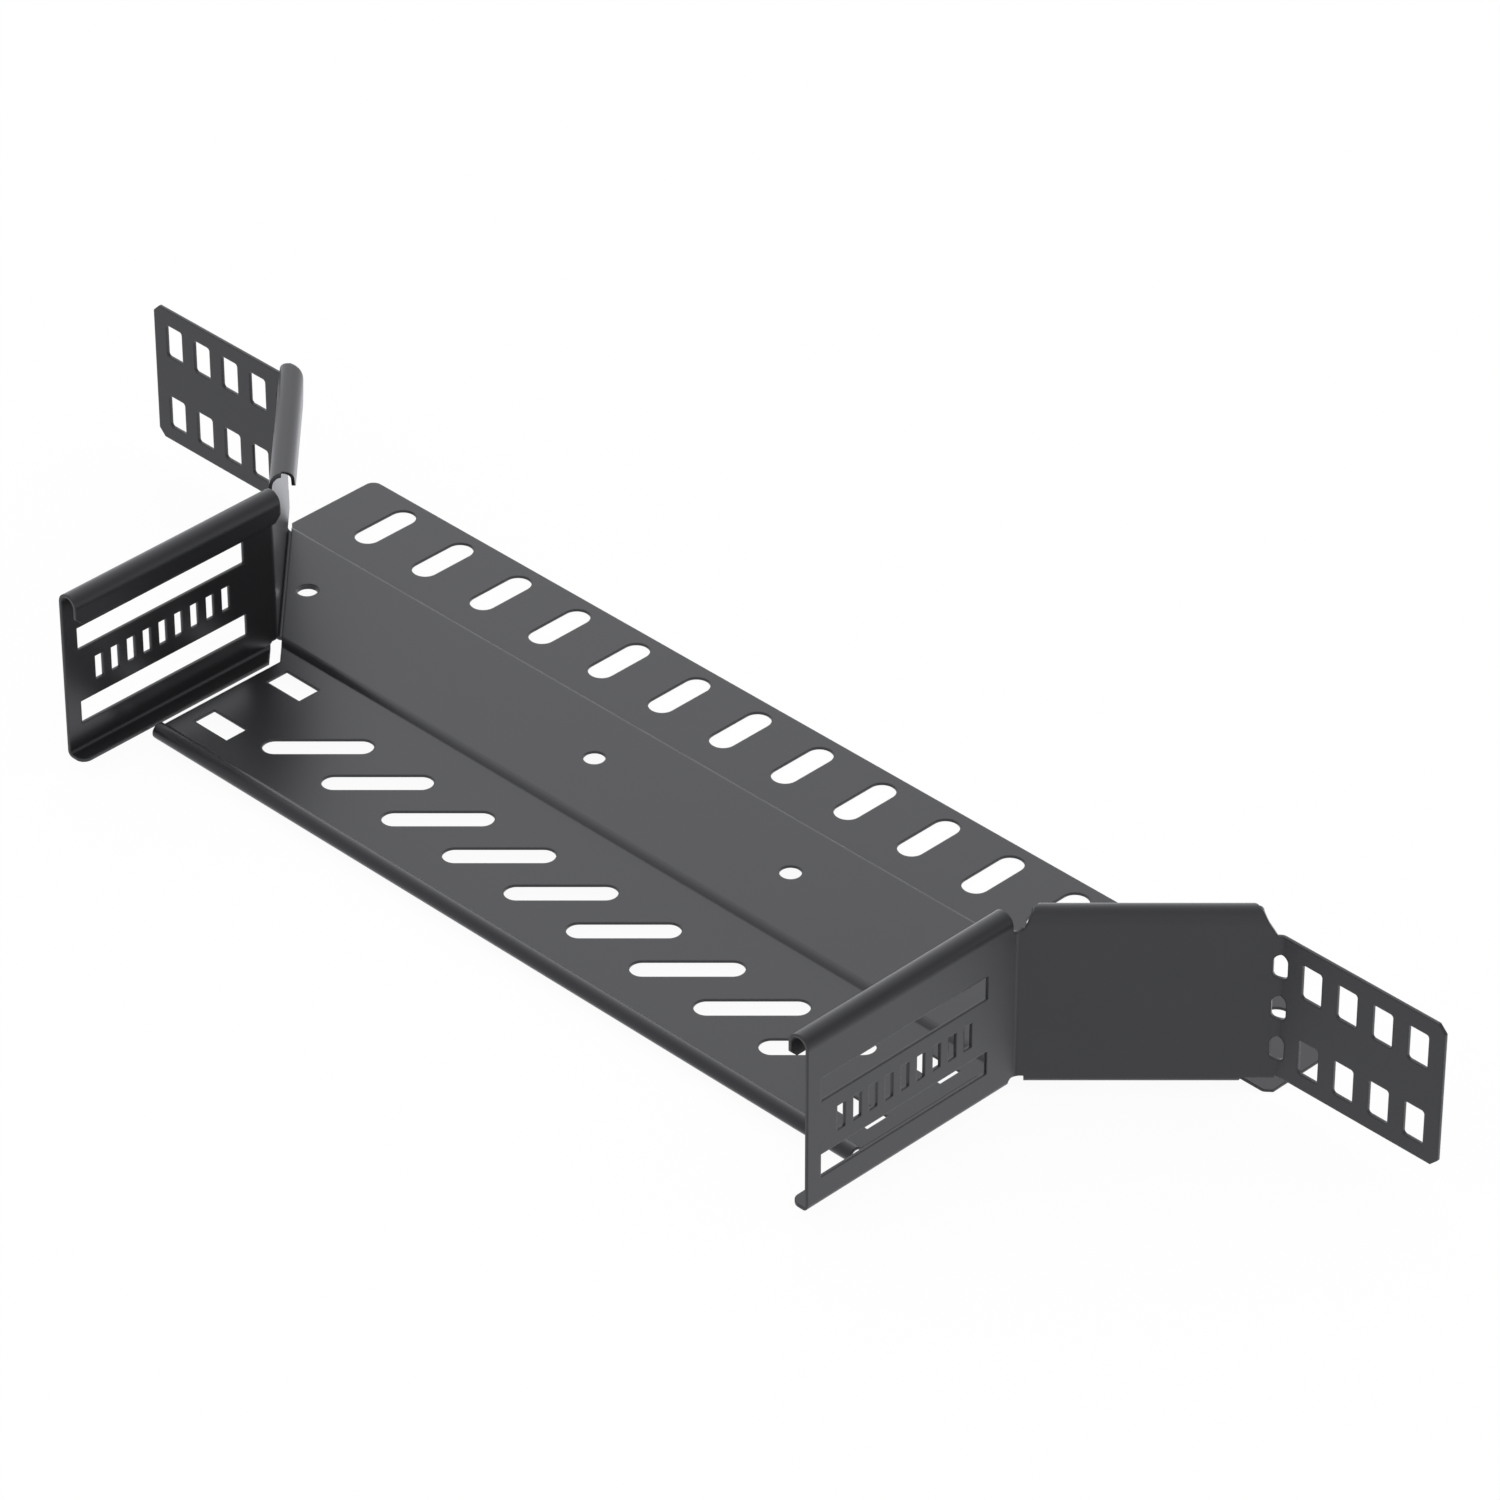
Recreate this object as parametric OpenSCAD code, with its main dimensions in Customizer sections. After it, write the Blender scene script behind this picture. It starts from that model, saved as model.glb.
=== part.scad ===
// Add-on tee for a perforated cable tray, folded from sheet steel.
// A floor plate and two mirrored side pieces make a branch that leaves a straight tray at a right angle.
// Frame: x runs along the main tray, y from the branch into the main tray, z up.
// x = 0 is the middle of the branch, y = 0 the back faces of the two arms, which lie against the main
// tray's side, and z = 0 the underside of the rear flange.

/* [Sheet] */
// Thickness of the two side pieces
side_t = 1; // [0.8:0.1:1.2]
// Thickness of the floor plate
floor_t = 0.75; // [0.6:0.05:1]
// Inner radius of the side pieces' bottom bends
side_bend_r = 0.8; // [0.5:0.1:1.2]
// Inner radius of the side pieces' upright bends
upright_bend_r = 1.2; // [0.6:0.2:2.4]
// Inner radius of the floor's folds
fold_r = 0.4; // [0.3:0.1:0.8]

/* [Branch] */
// Width over the outer faces of the two rails
branch_w = 296; // [280:2:400]
// How far the 45 degree panels reach, along y and along x
corner_run = 49.6; // [44:0.8:60]
// Length of a rail, from the corner to its front end
rail_len = 79.1; // [76:0.5:100]
// Height of the rails and panels over their own underside
side_h = 56.5; // [54:0.5:80]
// Width of a rail's bottom lip
lip_w = 6.5; // [5:0.5:8]
// Radius of the lip's front corner
lip_corner_r = 3; // [1:0.2:3.2]
// Width of the bottom flange under a 45 degree panel
panel_flange_w = 16.6; // [15:0.2:18]

/* [Hooked top edge] */
// Outer width of the hook
hook_w = 7.2; // [6.8:0.2:9]
// Straight drop at the hook's free end
hook_drop = 5.5; // [4:0.1:8]
// Chamfer at the lower corners of the hook's free end
hook_chamfer = 2.2; // [1:0.2:3]

/* [Arms] */
// Distance from the middle of the branch to an arm's free end
arm_reach = 254.4; // [250:0.8:320]
// Height of the arm
arm_h = 46.3; // [44:0.1:48]
// Height of the arm's lower edge over the side piece's underside
arm_foot = 2.5; // [2.3:0.1:3]
// Chamfer at the corners of the arm's free end
arm_chamfer = 2.4; // [1:0.2:4]
// Width of an arm hole
arm_hole_w = 7; // [5:0.5:9]
// Height of an arm hole
arm_hole_h = 11; // [8:0.5:14]
// Number of holes in each of an arm's two rows
arm_hole_count = 4; // [2:1:4]
// Pitch of the arm holes along the arm
arm_hole_pitch = 12.4; // [11:0.2:13]
// Distance between the two rows of arm holes
arm_row_gap = 25; // [20:0.5:28]
// Distance from the arm's free end to the first arm hole's middle
arm_hole_inset = 8.8; // [7:0.1:10]
// Corner radius of the arm holes
arm_hole_r = 1; // [0.5:0.1:1.5]

/* [Holes across the arm bend] */
// Width of a hole across the bend
bend_hole_w = 4.2; // [3.6:0.1:5]
// Height of a hole across the bend
bend_hole_h = 7.8; // [7:0.2:10]
// Pitch of the holes across the bend
bend_hole_pitch = 13.5; // [12:0.5:14]
// Number of holes across the bend
bend_hole_count = 3; // [1:2:3]

/* [Rail slots] */
// Length of the two long slots in a rail
long_slot_len = 63; // [50:0.5:66]
// Height of the long slots
long_slot_h = 7.5; // [6:0.1:9]
// Distance between the two long slots
long_slot_gap = 25; // [22:0.5:28]
// Height of the middle of all hole and slot rows over the side piece's underside
slot_mid_z = 25.4; // [24:0.2:27]
// Distance from the rail's front end to the slot pattern's middle
slot_mid_in = 36.5; // [36:0.1:38]
// Width of a small upright slot
small_slot_w = 3; // [2.5:0.1:4.5]
// Height of a small upright slot
small_slot_h = 8; // [5:0.5:10]
// Pitch of the small upright slots
small_slot_pitch = 6; // [5.5:0.1:6.5]
// Number of small slots in the row
small_slot_count = 9; // [5:2:9]

/* [Floor strip] */
// Distance from the rail corner to the front of the rolled edge
strip_depth = 54.7; // [52:0.5:66]
// Gap between the strip and each rail's lip
strip_gap = 1.9; // [1:0.1:3]
// Outer radius of the rolled front edge
roll_r = 2.5; // [2:0.1:2.8]
// Length of the step up to the middle panel
joggle_run = 2.9; // [2.4:0.1:3.4]
// Length of a diagonal slot
diag_slot_len = 32; // [26:0.5:34]
// Width of a diagonal slot
diag_slot_w = 7.3; // [5:0.1:8]
// Distance from the rail corner to the middle of the diagonal slots
diag_slot_in = 26.6; // [26:0.1:28]
// Length of the tie holes beside the rails, along x
tie_hole_l = 13.9; // [10:0.1:15]
// Width of the tie holes, along y
tie_hole_w = 7.8; // [6:0.1:9]
// Distance from the strip's end to the middle of the tie holes
tie_hole_in = 11.8; // [11:0.1:13]
// Distance between the two tie holes at one end
tie_hole_gap = 28; // [24:0.5:30]
// Distance from the rail corner to the middle of the two tie holes
tie_mid_in = 25.1; // [24:0.1:27]

/* [Middle panel and rear flange] */
// Diameter of the round bolt holes
bolt_d = 6.4; // [5:0.1:7]
// Distance between the two inner bolt holes
inner_bolt_gap = 78.6; // [60:0.2:120]
// Distance between the two outer bolt holes, which also pass through the side pieces
outer_bolt_gap = 321; // [320:0.2:322]
// Distance from the arms' front faces to the line of bolt holes
bolt_in = 25.3; // [24:0.1:26]
// Distance from the arms' front faces to the fold at the rear of the middle panel
fold_in = 6; // [5.8:0.1:7]
// Drop from the middle panel to the rear flange
flange_drop = 5.2; // [4.8:0.1:6]
// Width of the rear flange, along x
flange_w = 392.6; // [392:0.2:396]
// Distance from the arms' front faces to the far edge of the rear flange
flange_reach = 34; // [32:0.5:60]
// Radius of the rear flange's far corners
flange_corner_r = 3; // [1:0.5:5]
// Length of a slot in the rear flange
flange_slot_len = 22.1; // [16:0.1:24]
// Width of a slot in the rear flange
flange_slot_w = 8.2; // [5:0.1:9]
// Distance from the arms' front faces to the middle of the flange slots
flange_slot_in = 19.1; // [18:0.1:21]

/* [Slot patterns] */
// Pitch of the slots along x, in the strip and in the rear flange
slot_pitch = 25; // [24:0.5:30]

/* [Hidden] */
$fn = 64;
FLOOR_COLOUR = [0.30, 0.30, 0.31];
SIDE_COLOUR = [0.24, 0.24, 0.25];
// Cutting solids run this far past the sheet
OVER = 4;
// How far a bend runs into the straight sheet beside it, and how much thinner it is on each face
JOIN = 0.1;
SKIN = 0.01;
// Angle of the panels in plan, and of the slope behind the middle panel
PANEL_ANGLE = 45;
// Running gap between the middle panel's 45 degree edges and the bends beside them
edge_gap = 0.25;

// Levels
panel_under = flange_drop;
side_z = panel_under - side_t;
strip_z = side_z;

// Plan of the side pieces
rail_x = branch_w / 2;
arm_front = -side_t;
corner_y = arm_front - corner_run;
rail_front = corner_y - rail_len;
panel_len = corner_run / cos(PANEL_ANGLE);
upright_tangent = upright_bend_r * tan(PANEL_ANGLE / 2);
arm_corner_x = rail_x + corner_run;

// Section of the side pieces
bottom_r = side_bend_r + side_t;
hook_r = hook_w / 2;
hook_z = side_h - hook_r;
leg_z = hook_z - hook_drop;
// The notch between the two hooks has its middle a little below the hooks' own
notch_r = 1.7;
notch_drop = 0.7;
notch_z = hook_z - notch_drop;
relief_h = arm_foot;
relief_ease = 0.7;
// The rail's lip and bend end this far before the corner, the panel's bend begins this far after it
rail_relief = 2.45;
panel_relief = 2.4;
hook_relief = 1.8;
// Slant of the panel hook's two ends, as run along the panel for each unit of sheet height
front_slant = 0.48;
rear_slant = 0.58;
hook_rear = 1.15;
panel_foot = 1.9;
flange_end = 0.8;

// Plan of the floor plate
strip_x = rail_x - lip_w - strip_gap;
roll_y = corner_y - strip_depth + roll_r;
roll_mid_r = roll_r - floor_t / 2;
// The roll's middle lies a little below the strip, and the roll ends at this angle, under itself
roll_sink = 0.41;
roll_z = strip_z - roll_sink;
roll_end = 285;
roll_corner_r = 2;
// The roll leaves the strip through a small reverse bend that touches both
reverse_mid_r = fold_r + floor_t / 2;
reverse_rise = strip_z + floor_t + fold_r - roll_z;
reverse_out = sqrt(pow(roll_mid_r + reverse_mid_r, 2) - pow(reverse_rise, 2));
roll_start = atan2(reverse_rise, reverse_out);
strip_start = roll_y + reverse_out;
// The step up is two opposite bends with a short straight between them
joggle_turn = 30;
joggle_rise = panel_under - strip_z;
joggle_radii = (joggle_run * tan(joggle_turn) - joggle_rise) / (1 / cos(joggle_turn) - 1);
joggle_flat = (joggle_run - joggle_radii * sin(joggle_turn)) / cos(joggle_turn);
joggle_top_r = joggle_radii - fold_r - floor_t;
slope_angle = 45;
fold_y = arm_front - fold_in;
fold_outer = (fold_r + floor_t) * tan(slope_angle / 2);
fold_inner = fold_r * tan(slope_angle / 2);
panel_flat = fold_y - fold_outer - corner_y - joggle_run;
slope_flat = flange_drop / sin(slope_angle) - fold_outer - fold_inner;
slope_foot = fold_y + flange_drop / tan(slope_angle) + fold_inner;
flange_far = arm_front + flange_reach;
// y at which the rear flange's own sides begin
flange_start = -0.2;
// x of the floor's 45 degree edge where it would cross y = 0
edge_x0 = arm_corner_x - arm_front - (bottom_r + edge_gap) / cos(PANEL_ANGLE);
diag_y = corner_y - diag_slot_in;
tie_mid_y = corner_y - tie_mid_in;
bolt_y = arm_front - bolt_in;
flange_slot_y = arm_front + flange_slot_in;
// Slots on each side of the middle one. A diagonal slot may reach a little way between the tie holes.
tie_reach = 4;
flange_margin = 6;
strip_room = strip_x - 2 * tie_hole_in - diag_slot_len * cos(PANEL_ANGLE) / 2 + tie_reach;
strip_slots = floor(strip_room / slot_pitch);
flange_slots = floor((flange_w / 2 - flange_slot_w / 2 - flange_margin) / slot_pitch);

// Part of a ring between two angles, counted counterclockwise from +x
module arc_band(inner_r, t, from, to) {
    reach = 3 * (inner_r + t);
    widest = 60;
    steps = ceil((to - from) / widest);
    intersection() {
        difference() {
            circle(inner_r + t);
            circle(inner_r);
        }
        polygon(concat([[0, 0]], [for (i = [0:steps]) let (a = from + (to - from) * i / steps)
            [reach * cos(a), reach * sin(a)]]));
    }
}

// A bend in a sheet. It is a hair thinner than the sheet and runs a little way into it at both ends, so that
// the two join inside the sheet and not along a shared tangent.
module bend_band(inner_r, t, from, to) {
    more = JOIN / (inner_r + t / 2) * 180 / PI;
    arc_band(inner_r + SKIN, t - 2 * SKIN, from - more, to + more);
}

// Section of a folded sheet, from [straight length, turn, inner radius] steps.
// It starts at the origin along +x with its underside on y = 0, and a positive turn goes up.
module sheet_run(t, steps, i = 0) {
    run = steps[i][0];
    turn = steps[i][1];
    r = steps[i][2];
    square([run, t]);
    translate([run, 0]) {
        if (turn > 0) {
            translate([0, t + r]) {
                bend_band(r, t, -90, turn - 90);
                rotate(turn) translate([0, -t - r]) next_run(t, steps, i);
            }
        }
        if (turn < 0) {
            translate([0, -r]) {
                bend_band(r, t, 90 + turn, 90);
                rotate(turn) translate([0, r]) next_run(t, steps, i);
            }
        }
    }
}

module next_run(t, steps, i) {
    if (i + 1 < len(steps)) sheet_run(t, steps, i + 1);
}

// Slot with round ends, along x
module slot_2d(l, w) {
    square([l - w, w], center = true);
    for (side = [-1, 1]) translate([side * (l - w) / 2, 0]) circle(d = w);
}

module rounded_2d(w, h, r) {
    square([w - 2 * r, h], center = true);
    square([w, h - 2 * r], center = true);
    for (sx = [-1, 1], sy = [-1, 1]) translate([sx * (w / 2 - r), sy * (h / 2 - r)]) circle(r);
}

// Stands a 2D shape up: its x stays along x, its y becomes z, and it is extruded towards +y
module upright(depth) {
    translate([0, depth, 0]) rotate([90, 0, 0]) linear_extrude(depth) children();
}

// FLOOR PLATE

module floor_section() {
    translate([roll_y, roll_z]) arc_band(roll_r - floor_t, floor_t, roll_start, roll_end);
    translate([strip_start, strip_z + floor_t + fold_r]) {
        bend_band(fold_r, floor_t, 180 + roll_start, 270);
    }
    translate([strip_start, strip_z]) {
        sheet_run(floor_t, [
            [corner_y - strip_start, joggle_turn, fold_r],
            [joggle_flat, -joggle_turn, joggle_top_r],
            [panel_flat, -slope_angle, fold_r],
            [slope_flat, slope_angle, fold_r],
            [flange_far - slope_foot, 0, 0]
        ]);
    }
}

module floor_outline() {
    flange_x = flange_w / 2;
    for (side = [0, 1]) mirror([side, 0]) {
        polygon([
            [0, roll_y - roll_r - OVER],
            [strip_x, roll_y - roll_r - OVER],
            [strip_x, strip_x - edge_x0],
            [edge_x0 + fold_y, fold_y],
            [flange_x, flange_start],
            [flange_x, flange_far - flange_corner_r],
            [flange_x - flange_corner_r, flange_far - flange_corner_r],
            [flange_x - flange_corner_r, flange_far],
            [0, flange_far]
        ]);
        translate([flange_x - flange_corner_r, flange_far - flange_corner_r]) {
            intersection() {
                circle(flange_corner_r);
                square(flange_corner_r);
            }
        }
    }
}

module floor_holes() {
    for (i = [-strip_slots:strip_slots]) {
        translate([i * slot_pitch, diag_y]) rotate(PANEL_ANGLE) slot_2d(diag_slot_len, diag_slot_w);
    }
    for (side = [-1, 1], row = [-1, 1]) {
        translate([side * (strip_x - tie_hole_in), tie_mid_y + row * tie_hole_gap / 2]) {
            square([tie_hole_l, tie_hole_w], center = true);
        }
    }
    for (i = [-flange_slots:flange_slots]) {
        translate([i * slot_pitch, flange_slot_y]) rotate(90) slot_2d(flange_slot_len, flange_slot_w);
    }
}

module bolt_hole(x) {
    translate([x, bolt_y, side_z - OVER]) cylinder(d = bolt_d, h = side_t + floor_t + 2 * OVER);
}

// Takes the lower outer corners off the rolled edge
module roll_corners() {
    low = roll_z - roll_r;
    for (side = [0, 1]) mirror([side, 0, 0]) {
        translate([strip_x - roll_corner_r, roll_y - roll_r - OVER, low]) {
            difference() {
                translate([0, 0, -OVER]) cube([roll_corner_r + OVER, roll_r + OVER, roll_corner_r + OVER]);
                translate([0, -OVER, roll_corner_r]) rotate([-90, 0, 0]) {
                    cylinder(r = roll_corner_r, h = 4 * OVER);
                }
            }
        }
    }
}

module floor_plate() {
    color(FLOOR_COLOUR) difference() {
        intersection() {
            rotate([90, 0, 90]) translate([0, 0, -flange_w / 2 - OVER]) {
                linear_extrude(flange_w + 2 * OVER) floor_section();
            }
            translate([0, 0, -OVER]) linear_extrude(side_h) floor_outline();
        }
        translate([0, 0, -OVER]) linear_extrude(side_h) floor_holes();
        for (x = [inner_bolt_gap, outer_bolt_gap], side = [-1, 1]) bolt_hole(side * x / 2);
        roll_corners();
    }
}

// SIDE PIECES, drawn on the right side of the branch

// Section with a bottom flange, the wall and the hook.
// The outer face is x = 0 and the sheet lies towards -x.
module side_section(flange) {
    translate([-flange, 0]) {
        sheet_run(side_t, [
            [flange - bottom_r, 90, side_bend_r],
            [hook_z - bottom_r, 180, hook_r - side_t],
            [hook_drop, 0, 0]
        ]);
    }
}

// Frames at the rail's corner: the rail's own and the panel's, with y along the sheet and -x inwards
module at_rail_corner() {
    translate([rail_x, corner_y, side_z]) children();
}

module at_panel() {
    at_rail_corner() rotate([0, 0, -PANEL_ANGLE]) children();
}

module along(from, to) {
    translate([0, to, 0]) rotate([90, 0, 0]) linear_extrude(to - from) children();
}

// Upright bend at a corner, from foot to top
module upright_bend(foot, top) {
    translate([upright_bend_r, -upright_tangent, foot]) linear_extrude(top - foot) {
        bend_band(upright_bend_r, side_t, 180 - PANEL_ANGLE, 180);
    }
}

module arm() {
    arm_start = arm_corner_x + upright_tangent;
    arm_len = arm_reach - arm_start;
    holes_x = arm_len - arm_hole_inset;
    translate([arm_start, arm_front, side_z + arm_foot]) upright(side_t) {
        difference() {
            polygon([
                [0, 0],
                [arm_len - arm_chamfer, 0],
                [arm_len, arm_chamfer],
                [arm_len, arm_h - arm_chamfer],
                [arm_len - arm_chamfer, arm_h],
                [0, arm_h]
            ]);
            for (i = [0:arm_hole_count - 1], row = [-1, 1]) {
                translate([holes_x - i * arm_hole_pitch, slot_mid_z - arm_foot + row * arm_row_gap / 2]) {
                    rounded_2d(arm_hole_w, arm_hole_h, arm_hole_r);
                }
            }
        }
    }
}

// Place along y of a slanted hook end, at an angle round the hook. The end line starts at [start, from_z].
function end_y(start, from_z, slant, a) =
    start + slant * (hook_z - from_z + (hook_r - side_t / 2) * a * PI / 180);

// Removes one end of the panel's hook, along a slanted line of the unrolled sheet, and the corner of its leg
module hook_end(start, from_z, slant, away) {
    half = 90;
    step = 15;
    far = start + away * panel_len;
    outer = [for (a = [0:step:half]) [end_y(start, from_z, slant, a), hook_z + hook_r * sin(a)]];
    inner = [for (a = [half:step:2 * half]) [end_y(start, from_z, slant, a), hook_z + hook_r * sin(a)]];
    // The chamfer makes equal angles with the end and with the leg's lower edge
    chamfer_run = -away / tan((half - abs(atan(slant))) / 2);
    chamfer_y = end_y(start, from_z, slant, 2 * half) + slant * (hook_drop - hook_chamfer);
    foot_y = chamfer_y + chamfer_run * (hook_chamfer + OVER);
    top = side_h + OVER;
    tip = outer[len(outer) - 1][0];
    translate([-hook_r, 0, 0]) rotate([90, 0, 90]) linear_extrude(hook_r + OVER) {
        polygon(concat([[far, from_z], [start, from_z]], outer, [[tip, top], [far, top]]));
    }
    translate([-hook_w - OVER, 0, 0]) rotate([90, 0, 90]) linear_extrude(hook_w + OVER - hook_r) {
        polygon(concat([[far, top], [tip, top]], inner,
            [[chamfer_y, leg_z + hook_chamfer], [foot_y, leg_z - OVER], [far, leg_z - OVER]]));
    }
}

// Chamfers a lower corner of the rail hook's leg, at a place along the rail.
// The sheet ends there towards +y or -y, which is +1 or -1.
module leg_corner(y, away) {
    far = hook_chamfer + OVER;
    translate([-hook_w - OVER, y, leg_z]) rotate([90, 0, 90]) linear_extrude(hook_r + OVER) {
        polygon([[away * OVER, -OVER], [away * OVER, far], [-away * far, -OVER]]);
    }
}

module rail() {
    at_rail_corner() difference() {
        along(-rail_len, -upright_tangent) side_section(lip_w);
        // Relief under the corner
        translate([-lip_w - OVER, 0, 0]) rotate([90, 0, 90]) linear_extrude(lip_w + 2 * OVER) {
            polygon([
                [0, -OVER],
                [-rail_relief, -OVER],
                [-rail_relief, relief_h - relief_ease],
                [relief_ease - rail_relief, relief_h],
                [0, relief_h]
            ]);
        }
        // The lip's slanted rear end and its rounded front corner
        translate([-side_t, -rail_relief, -OVER]) linear_extrude(relief_h + OVER) {
            polygon([[0, 0], [-lip_w, -lip_w * tan(PANEL_ANGLE)], [-lip_w, rail_relief], [0, rail_relief]]);
        }
        translate([lip_corner_r - lip_w, lip_corner_r - rail_len, -OVER]) linear_extrude(relief_h + OVER) {
            difference() {
                translate([-lip_corner_r - OVER, -lip_corner_r - OVER]) square(lip_corner_r + OVER);
                circle(lip_corner_r);
            }
        }
        // End of the hook, and the wall beside the notch
        translate([-hook_w - OVER, -hook_relief, leg_z - OVER]) {
            cube([hook_w + OVER - 2 * side_t, hook_relief, side_h]);
        }
        translate([-hook_w, -hook_relief, notch_z]) cube([hook_w + OVER, hook_relief, side_h]);
        leg_corner(-rail_len, -1);
        leg_corner(-hook_relief, 1);
    }
}

module panel() {
    at_panel() difference() {
        along(upright_tangent, panel_len - upright_tangent) side_section(panel_flange_w);
        // Relief under the corner
        translate([-panel_flange_w - OVER, 0, -OVER]) {
            cube([panel_flange_w + 2 * OVER, panel_relief, relief_h + OVER]);
        }
        hook_end(notch_r, notch_z - notch_r / 2, front_slant, -1);
        hook_end(panel_len - hook_rear, arm_foot + arm_h, -rear_slant, 1);
        rear_foot();
    }
}

// Bottom bend and flange behind the line at which they end, square to the branch, and the wall's foot there
module rear_foot() {
    rotate([0, 0, PANEL_ANGLE]) translate([-2 * panel_flange_w, fold_y - flange_end - corner_y, -OVER]) {
        cube([4 * panel_flange_w + corner_run, corner_run, OVER + panel_foot]);
    }
}

module rail_slots() {
    mid_y = rail_front + slot_mid_in;
    for (row = [-1, 1]) {
        translate([rail_x - side_t - OVER, mid_y - long_slot_len / 2,
                side_z + slot_mid_z + row * long_slot_gap / 2 - long_slot_h / 2]) {
            cube([side_t + 2 * OVER, long_slot_len, long_slot_h]);
        }
    }
    last = (small_slot_count - 1) / 2;
    for (i = [-last:last]) {
        translate([rail_x - side_t - OVER, mid_y + i * small_slot_pitch - small_slot_w / 2,
                side_z + slot_mid_z - small_slot_h / 2]) {
            cube([side_t + 2 * OVER, small_slot_w, small_slot_h]);
        }
    }
}

module bend_holes() {
    last = (bend_hole_count - 1) / 2;
    translate([arm_corner_x, arm_front, side_z + slot_mid_z]) rotate([0, 0, PANEL_ANGLE / 2]) {
        translate([0, -OVER, 0]) upright(2 * OVER + side_t) {
            for (i = [-last:last]) translate([0, i * bend_hole_pitch]) rotate(90) {
                slot_2d(bend_hole_h, bend_hole_w);
            }
        }
    }
}

module right_sheet() {
    difference() {
        union() {
            rail();
            at_rail_corner() upright_bend(relief_h, notch_z);
            panel();
            at_panel() translate([0, panel_len, 0]) upright_bend(arm_foot, arm_foot + arm_h);
            arm();
        }
        // Round bottom of the notch between the two hooks
        at_rail_corner() rotate([0, 0, -PANEL_ANGLE / 2]) translate([-OVER, 0, notch_z]) {
            rotate([0, 90, 0]) cylinder(r = notch_r, h = 2 * OVER);
        }
        rail_slots();
        bend_holes();
        bolt_hole(outer_bolt_gap / 2);
    }
}

module right_side() {
    color(SIDE_COLOUR) right_sheet();
}

module left_side() {
    color(SIDE_COLOUR) mirror([1, 0, 0]) right_sheet();
}

floor_plate();
left_side();
right_side();
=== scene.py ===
"""Looks of the cable tray tee: powder-coated sheet steel, on a white studio floor.

All lengths are in metres, in the part's own frame: x along the main tray, y from the branch into the
main tray, z up, with z = 0 at the underside of the rear flange.
"""

import math

import bpy
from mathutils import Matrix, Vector


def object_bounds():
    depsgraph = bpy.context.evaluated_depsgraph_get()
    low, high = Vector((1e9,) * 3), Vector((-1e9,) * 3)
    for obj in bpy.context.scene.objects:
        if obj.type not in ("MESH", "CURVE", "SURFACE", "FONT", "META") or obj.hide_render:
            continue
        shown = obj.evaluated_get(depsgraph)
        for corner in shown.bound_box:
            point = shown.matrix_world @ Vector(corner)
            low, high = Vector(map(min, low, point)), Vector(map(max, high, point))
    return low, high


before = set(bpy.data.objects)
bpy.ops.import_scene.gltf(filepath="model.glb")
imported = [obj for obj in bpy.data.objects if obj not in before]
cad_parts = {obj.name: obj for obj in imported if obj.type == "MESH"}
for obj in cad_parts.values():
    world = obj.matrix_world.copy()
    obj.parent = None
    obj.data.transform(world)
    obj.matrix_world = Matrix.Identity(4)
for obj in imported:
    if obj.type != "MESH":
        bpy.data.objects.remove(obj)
cad_low, cad_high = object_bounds()

# Camera, solved from the photograph's own right angles. The sensor's width is in millimetres.
CAMERA_PLACE = (1.2504, -1.2534, 1.2545)
CAMERA_ELEVATION = math.radians(34.994)
IMAGE_SIZE = 1500
FOCAL_PIXELS = 7642.5
SENSOR = 36.0
CLIP_START = 0.1
CLIP_END = 30.0

# Powder coat: nearly black, so that most of its tone is the bright room's reflection in it
COAT = (0.0112, 0.0113, 0.0126)
COAT_IOR = 1.5
ROUGHNESS = 0.33

# Faint mottling. The noise moves the roughness by its spread, and the colour by its share between the
# noise's two ends.
MOTTLE_NOISE = {"Scale": 60.0, "Detail": 3.0, "Roughness": 0.6}
MOTTLE_ENDS = (0.3, 0.7)
MOTTLE_SHARE = 0.08
ROUGHNESS_SPREAD = 0.01

# Orange peel, waves of about a millimetre
PEEL_NOISE = {"Scale": 900.0, "Detail": 2.0, "Roughness": 0.5}
PEEL_BUMP = {"Strength": 0.03, "Distance": 0.0002}

# Radius to which the coating rounds the sheet's cut edges, and the samples that find them
EDGE_RADIUS = 0.0007
EDGE_SAMPLES = 4

# Record's material slots, and the CAD nodes that wear them
COATED = {"floor_coat": ["floor_plate"], "side_coat": ["left_side", "right_side"]}

# Room that the coating reflects, a slightly cool white. Its strength is given in the eight directions
# halfway between the axes, as [z][y][x] with the negative side first, and is blended between them.
ROOM_COLOUR = (0.975, 0.985, 1.03, 1)
ROOM = [
    [[0.83, 1.07], [1.40, 1.30]],
    [[0.78, 1.12], [1.68, 0.47]],
]
ROOM_CORNER = 1 / math.sqrt(3)

# Everything but reflections sees a plain white all round
WHITE = (1, 1, 1, 1)
WHITE_STRENGTH = 1.0

# Floor: half its side, its gap under the part, and its own colour
FLOOR_REACH = 6.0
FLOOR_GAP = 0.0002
FLOOR_ALBEDO = 0.9
# Share of the floor's white that keeps the part's shadow, and the glow that makes the open floor white
SHADOW_SHARE = 0.06
FLOOR_GLOW = (1 - SHADOW_SHARE * FLOOR_ALBEDO) / (1 - SHADOW_SHARE)


def emptied_tree(block):
    """The node tree of a new material or world, without the nodes that it comes with."""
    block.use_nodes = True
    block.node_tree.nodes.clear()
    return block.node_tree


def add_node(tree, kind, **inputs):
    """A new shader node. Each input, by name, is set to a value or linked to another node's socket."""
    made = tree.nodes.new(kind)
    for name, value in inputs.items():
        socket = made.inputs[name.replace("_", " ")]
        if isinstance(value, bpy.types.NodeSocket):
            tree.links.new(value, socket)
        else:
            socket.default_value = value
    return made


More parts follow.
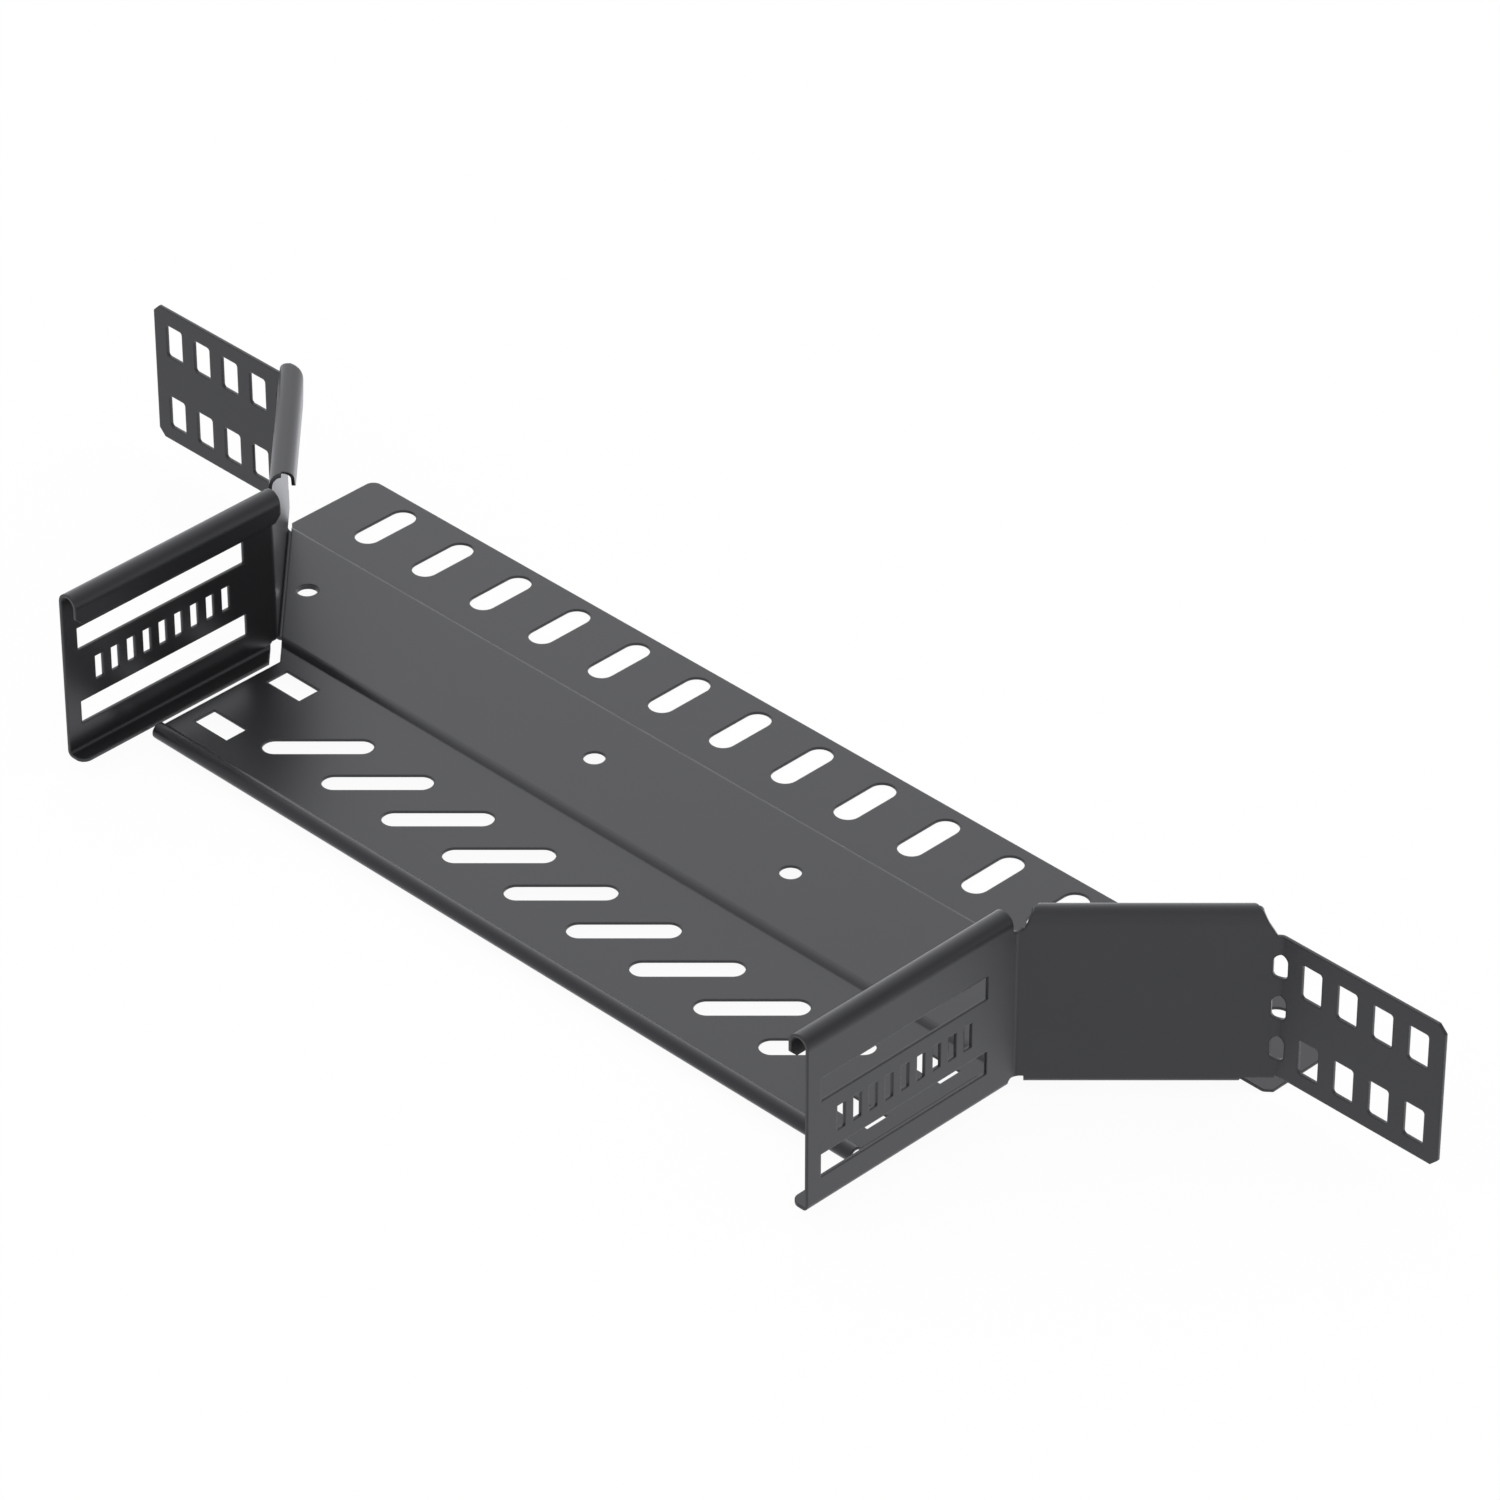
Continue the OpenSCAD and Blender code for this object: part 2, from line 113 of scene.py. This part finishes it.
def blended(tree, share, low, high):
    """A value that runs from low to high with a share. Both are numbers or sockets."""
    return add_node(tree, "ShaderNodeMix", Factor=share, A=low, B=high).outputs["Result"]


def mixed(tree, share, first, second):
    """A shader that is the first at a share of 0 and the second at 1."""
    mix = add_node(tree, "ShaderNodeMixShader", Fac=share)
    tree.links.new(first, mix.inputs[1])
    tree.links.new(second, mix.inputs[2])
    return mix.outputs["Shader"]


def powder_coat(name):
    """Semi-gloss powder coat with a faint mottling, fine orange peel and softly rounded cut edges."""
    material = bpy.data.materials.new(name)
    tree = emptied_tree(material)
    place = add_node(tree, "ShaderNodeTexCoord").outputs["Object"]

    mottle = add_node(tree, "ShaderNodeTexNoise", Vector=place, **MOTTLE_NOISE).outputs["Fac"]
    tint = add_node(tree, "ShaderNodeValToRGB", Fac=mottle)
    shares = (1 - MOTTLE_SHARE, 1 + MOTTLE_SHARE)
    for element, end, share in zip(tint.color_ramp.elements, MOTTLE_ENDS, shares):
        element.position = end
        element.color = (*[channel * share for channel in COAT], 1)
    gloss = add_node(tree, "ShaderNodeMapRange", Value=mottle, To_Min=ROUGHNESS - ROUGHNESS_SPREAD,
                     To_Max=ROUGHNESS + ROUGHNESS_SPREAD)

    edges = add_node(tree, "ShaderNodeBevel", Radius=EDGE_RADIUS)
    edges.samples = EDGE_SAMPLES
    peel = add_node(tree, "ShaderNodeTexNoise", Vector=place, **PEEL_NOISE)
    bump = add_node(tree, "ShaderNodeBump", Height=peel.outputs["Fac"], Normal=edges.outputs["Normal"],
                    **PEEL_BUMP)

    shader = add_node(tree, "ShaderNodeBsdfPrincipled", Base_Color=tint.outputs["Color"], IOR=COAT_IOR,
                      Roughness=gloss.outputs["Result"], Normal=bump.outputs["Normal"])
    add_node(tree, "ShaderNodeOutputMaterial", Surface=shader.outputs["BSDF"])
    return material


def dress(node, material):
    """Gives every face of a CAD node one material."""
    node.data.materials.clear()
    node.data.materials.append(material)


def studio_floor(height):
    """White floor that keeps the object's soft shadow. Reflections see the room behind it."""
    low, high = -FLOOR_REACH, FLOOR_REACH
    corners = [(low, low, height), (high, low, height), (high, high, height), (low, high, height)]
    mesh = bpy.data.meshes.new("studio_floor")
    mesh.from_pydata(corners, [], [(0, 1, 2, 3)])
    floor = bpy.data.objects.new("studio_floor", mesh)
    bpy.context.scene.collection.objects.link(floor)

    material = bpy.data.materials.new("studio_floor")
    tree = emptied_tree(material)
    path = add_node(tree, "ShaderNodeLightPath")
    colour = (FLOOR_ALBEDO, FLOOR_ALBEDO, FLOOR_ALBEDO, 1)
    diffuse = add_node(tree, "ShaderNodeBsdfDiffuse", Color=colour).outputs["BSDF"]
    glow = add_node(tree, "ShaderNodeEmission", Strength=FLOOR_GLOW).outputs["Emission"]
    clear = add_node(tree, "ShaderNodeBsdfTransparent").outputs["BSDF"]
    seen = mixed(tree, 1 - SHADOW_SHARE, diffuse, glow)
    solid = mixed(tree, path.outputs["Is Camera Ray"], diffuse, seen)
    surface = mixed(tree, path.outputs["Is Glossy Ray"], solid, clear)
    add_node(tree, "ShaderNodeOutputMaterial", Surface=surface)
    mesh.materials.append(material)


def room_strength(tree):
    """Strength of the room in the direction looked at, blended between its eight given directions."""
    way = add_node(tree, "ShaderNodeTexCoord")
    parts = add_node(tree, "ShaderNodeSeparateXYZ", Vector=way.outputs["Generated"])
    shares = {}
    for axis in "XYZ":
        share = add_node(tree, "ShaderNodeMapRange", Value=parts.outputs[axis], From_Min=-ROOM_CORNER,
                         From_Max=ROOM_CORNER)
        shares[axis] = share.outputs["Result"]
    levels = []
    for level in ROOM:
        rows = [blended(tree, shares["X"], low, high) for low, high in level]
        levels.append(blended(tree, shares["Y"], *rows))
    return blended(tree, shares["Z"], *levels)


def studio_world():
    """White for the camera, even white light for the object, and a room of uneven white to reflect."""
    world = bpy.data.worlds.new("studio_world")
    tree = emptied_tree(world)
    path = add_node(tree, "ShaderNodeLightPath")
    white = add_node(tree, "ShaderNodeBackground", Color=WHITE, Strength=WHITE_STRENGTH)
    room = add_node(tree, "ShaderNodeBackground", Color=ROOM_COLOUR, Strength=room_strength(tree))
    surface = mixed(tree, path.outputs["Is Glossy Ray"], white.outputs["Background"],
                    room.outputs["Background"])
    add_node(tree, "ShaderNodeOutputWorld", Surface=surface)
    bpy.context.scene.world = world


def photo_camera():
    """Camera at the photograph's place, looking down along a diagonal of the frame."""
    data = bpy.data.cameras.new("photo_camera")
    data.sensor_width = SENSOR
    data.lens = FOCAL_PIXELS / IMAGE_SIZE * SENSOR
    data.clip_start = CLIP_START
    data.clip_end = CLIP_END
    camera = bpy.data.objects.new("photo_camera", data)
    level = math.cos(CAMERA_ELEVATION) / math.sqrt(2)
    looks = Vector((-level, level, -math.sin(CAMERA_ELEVATION)))
    camera.location = CAMERA_PLACE
    camera.rotation_euler = looks.to_track_quat("-Z", "Y").to_euler()
    bpy.context.scene.collection.objects.link(camera)
    bpy.context.scene.camera = camera


bpy.context.scene.view_settings.view_transform = "Standard"
for slot, names in COATED.items():
    coat = powder_coat(slot)
    for name in names:
        dress(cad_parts[name], coat)
studio_world()
studio_floor(cad_low.z - FLOOR_GAP)
photo_camera()
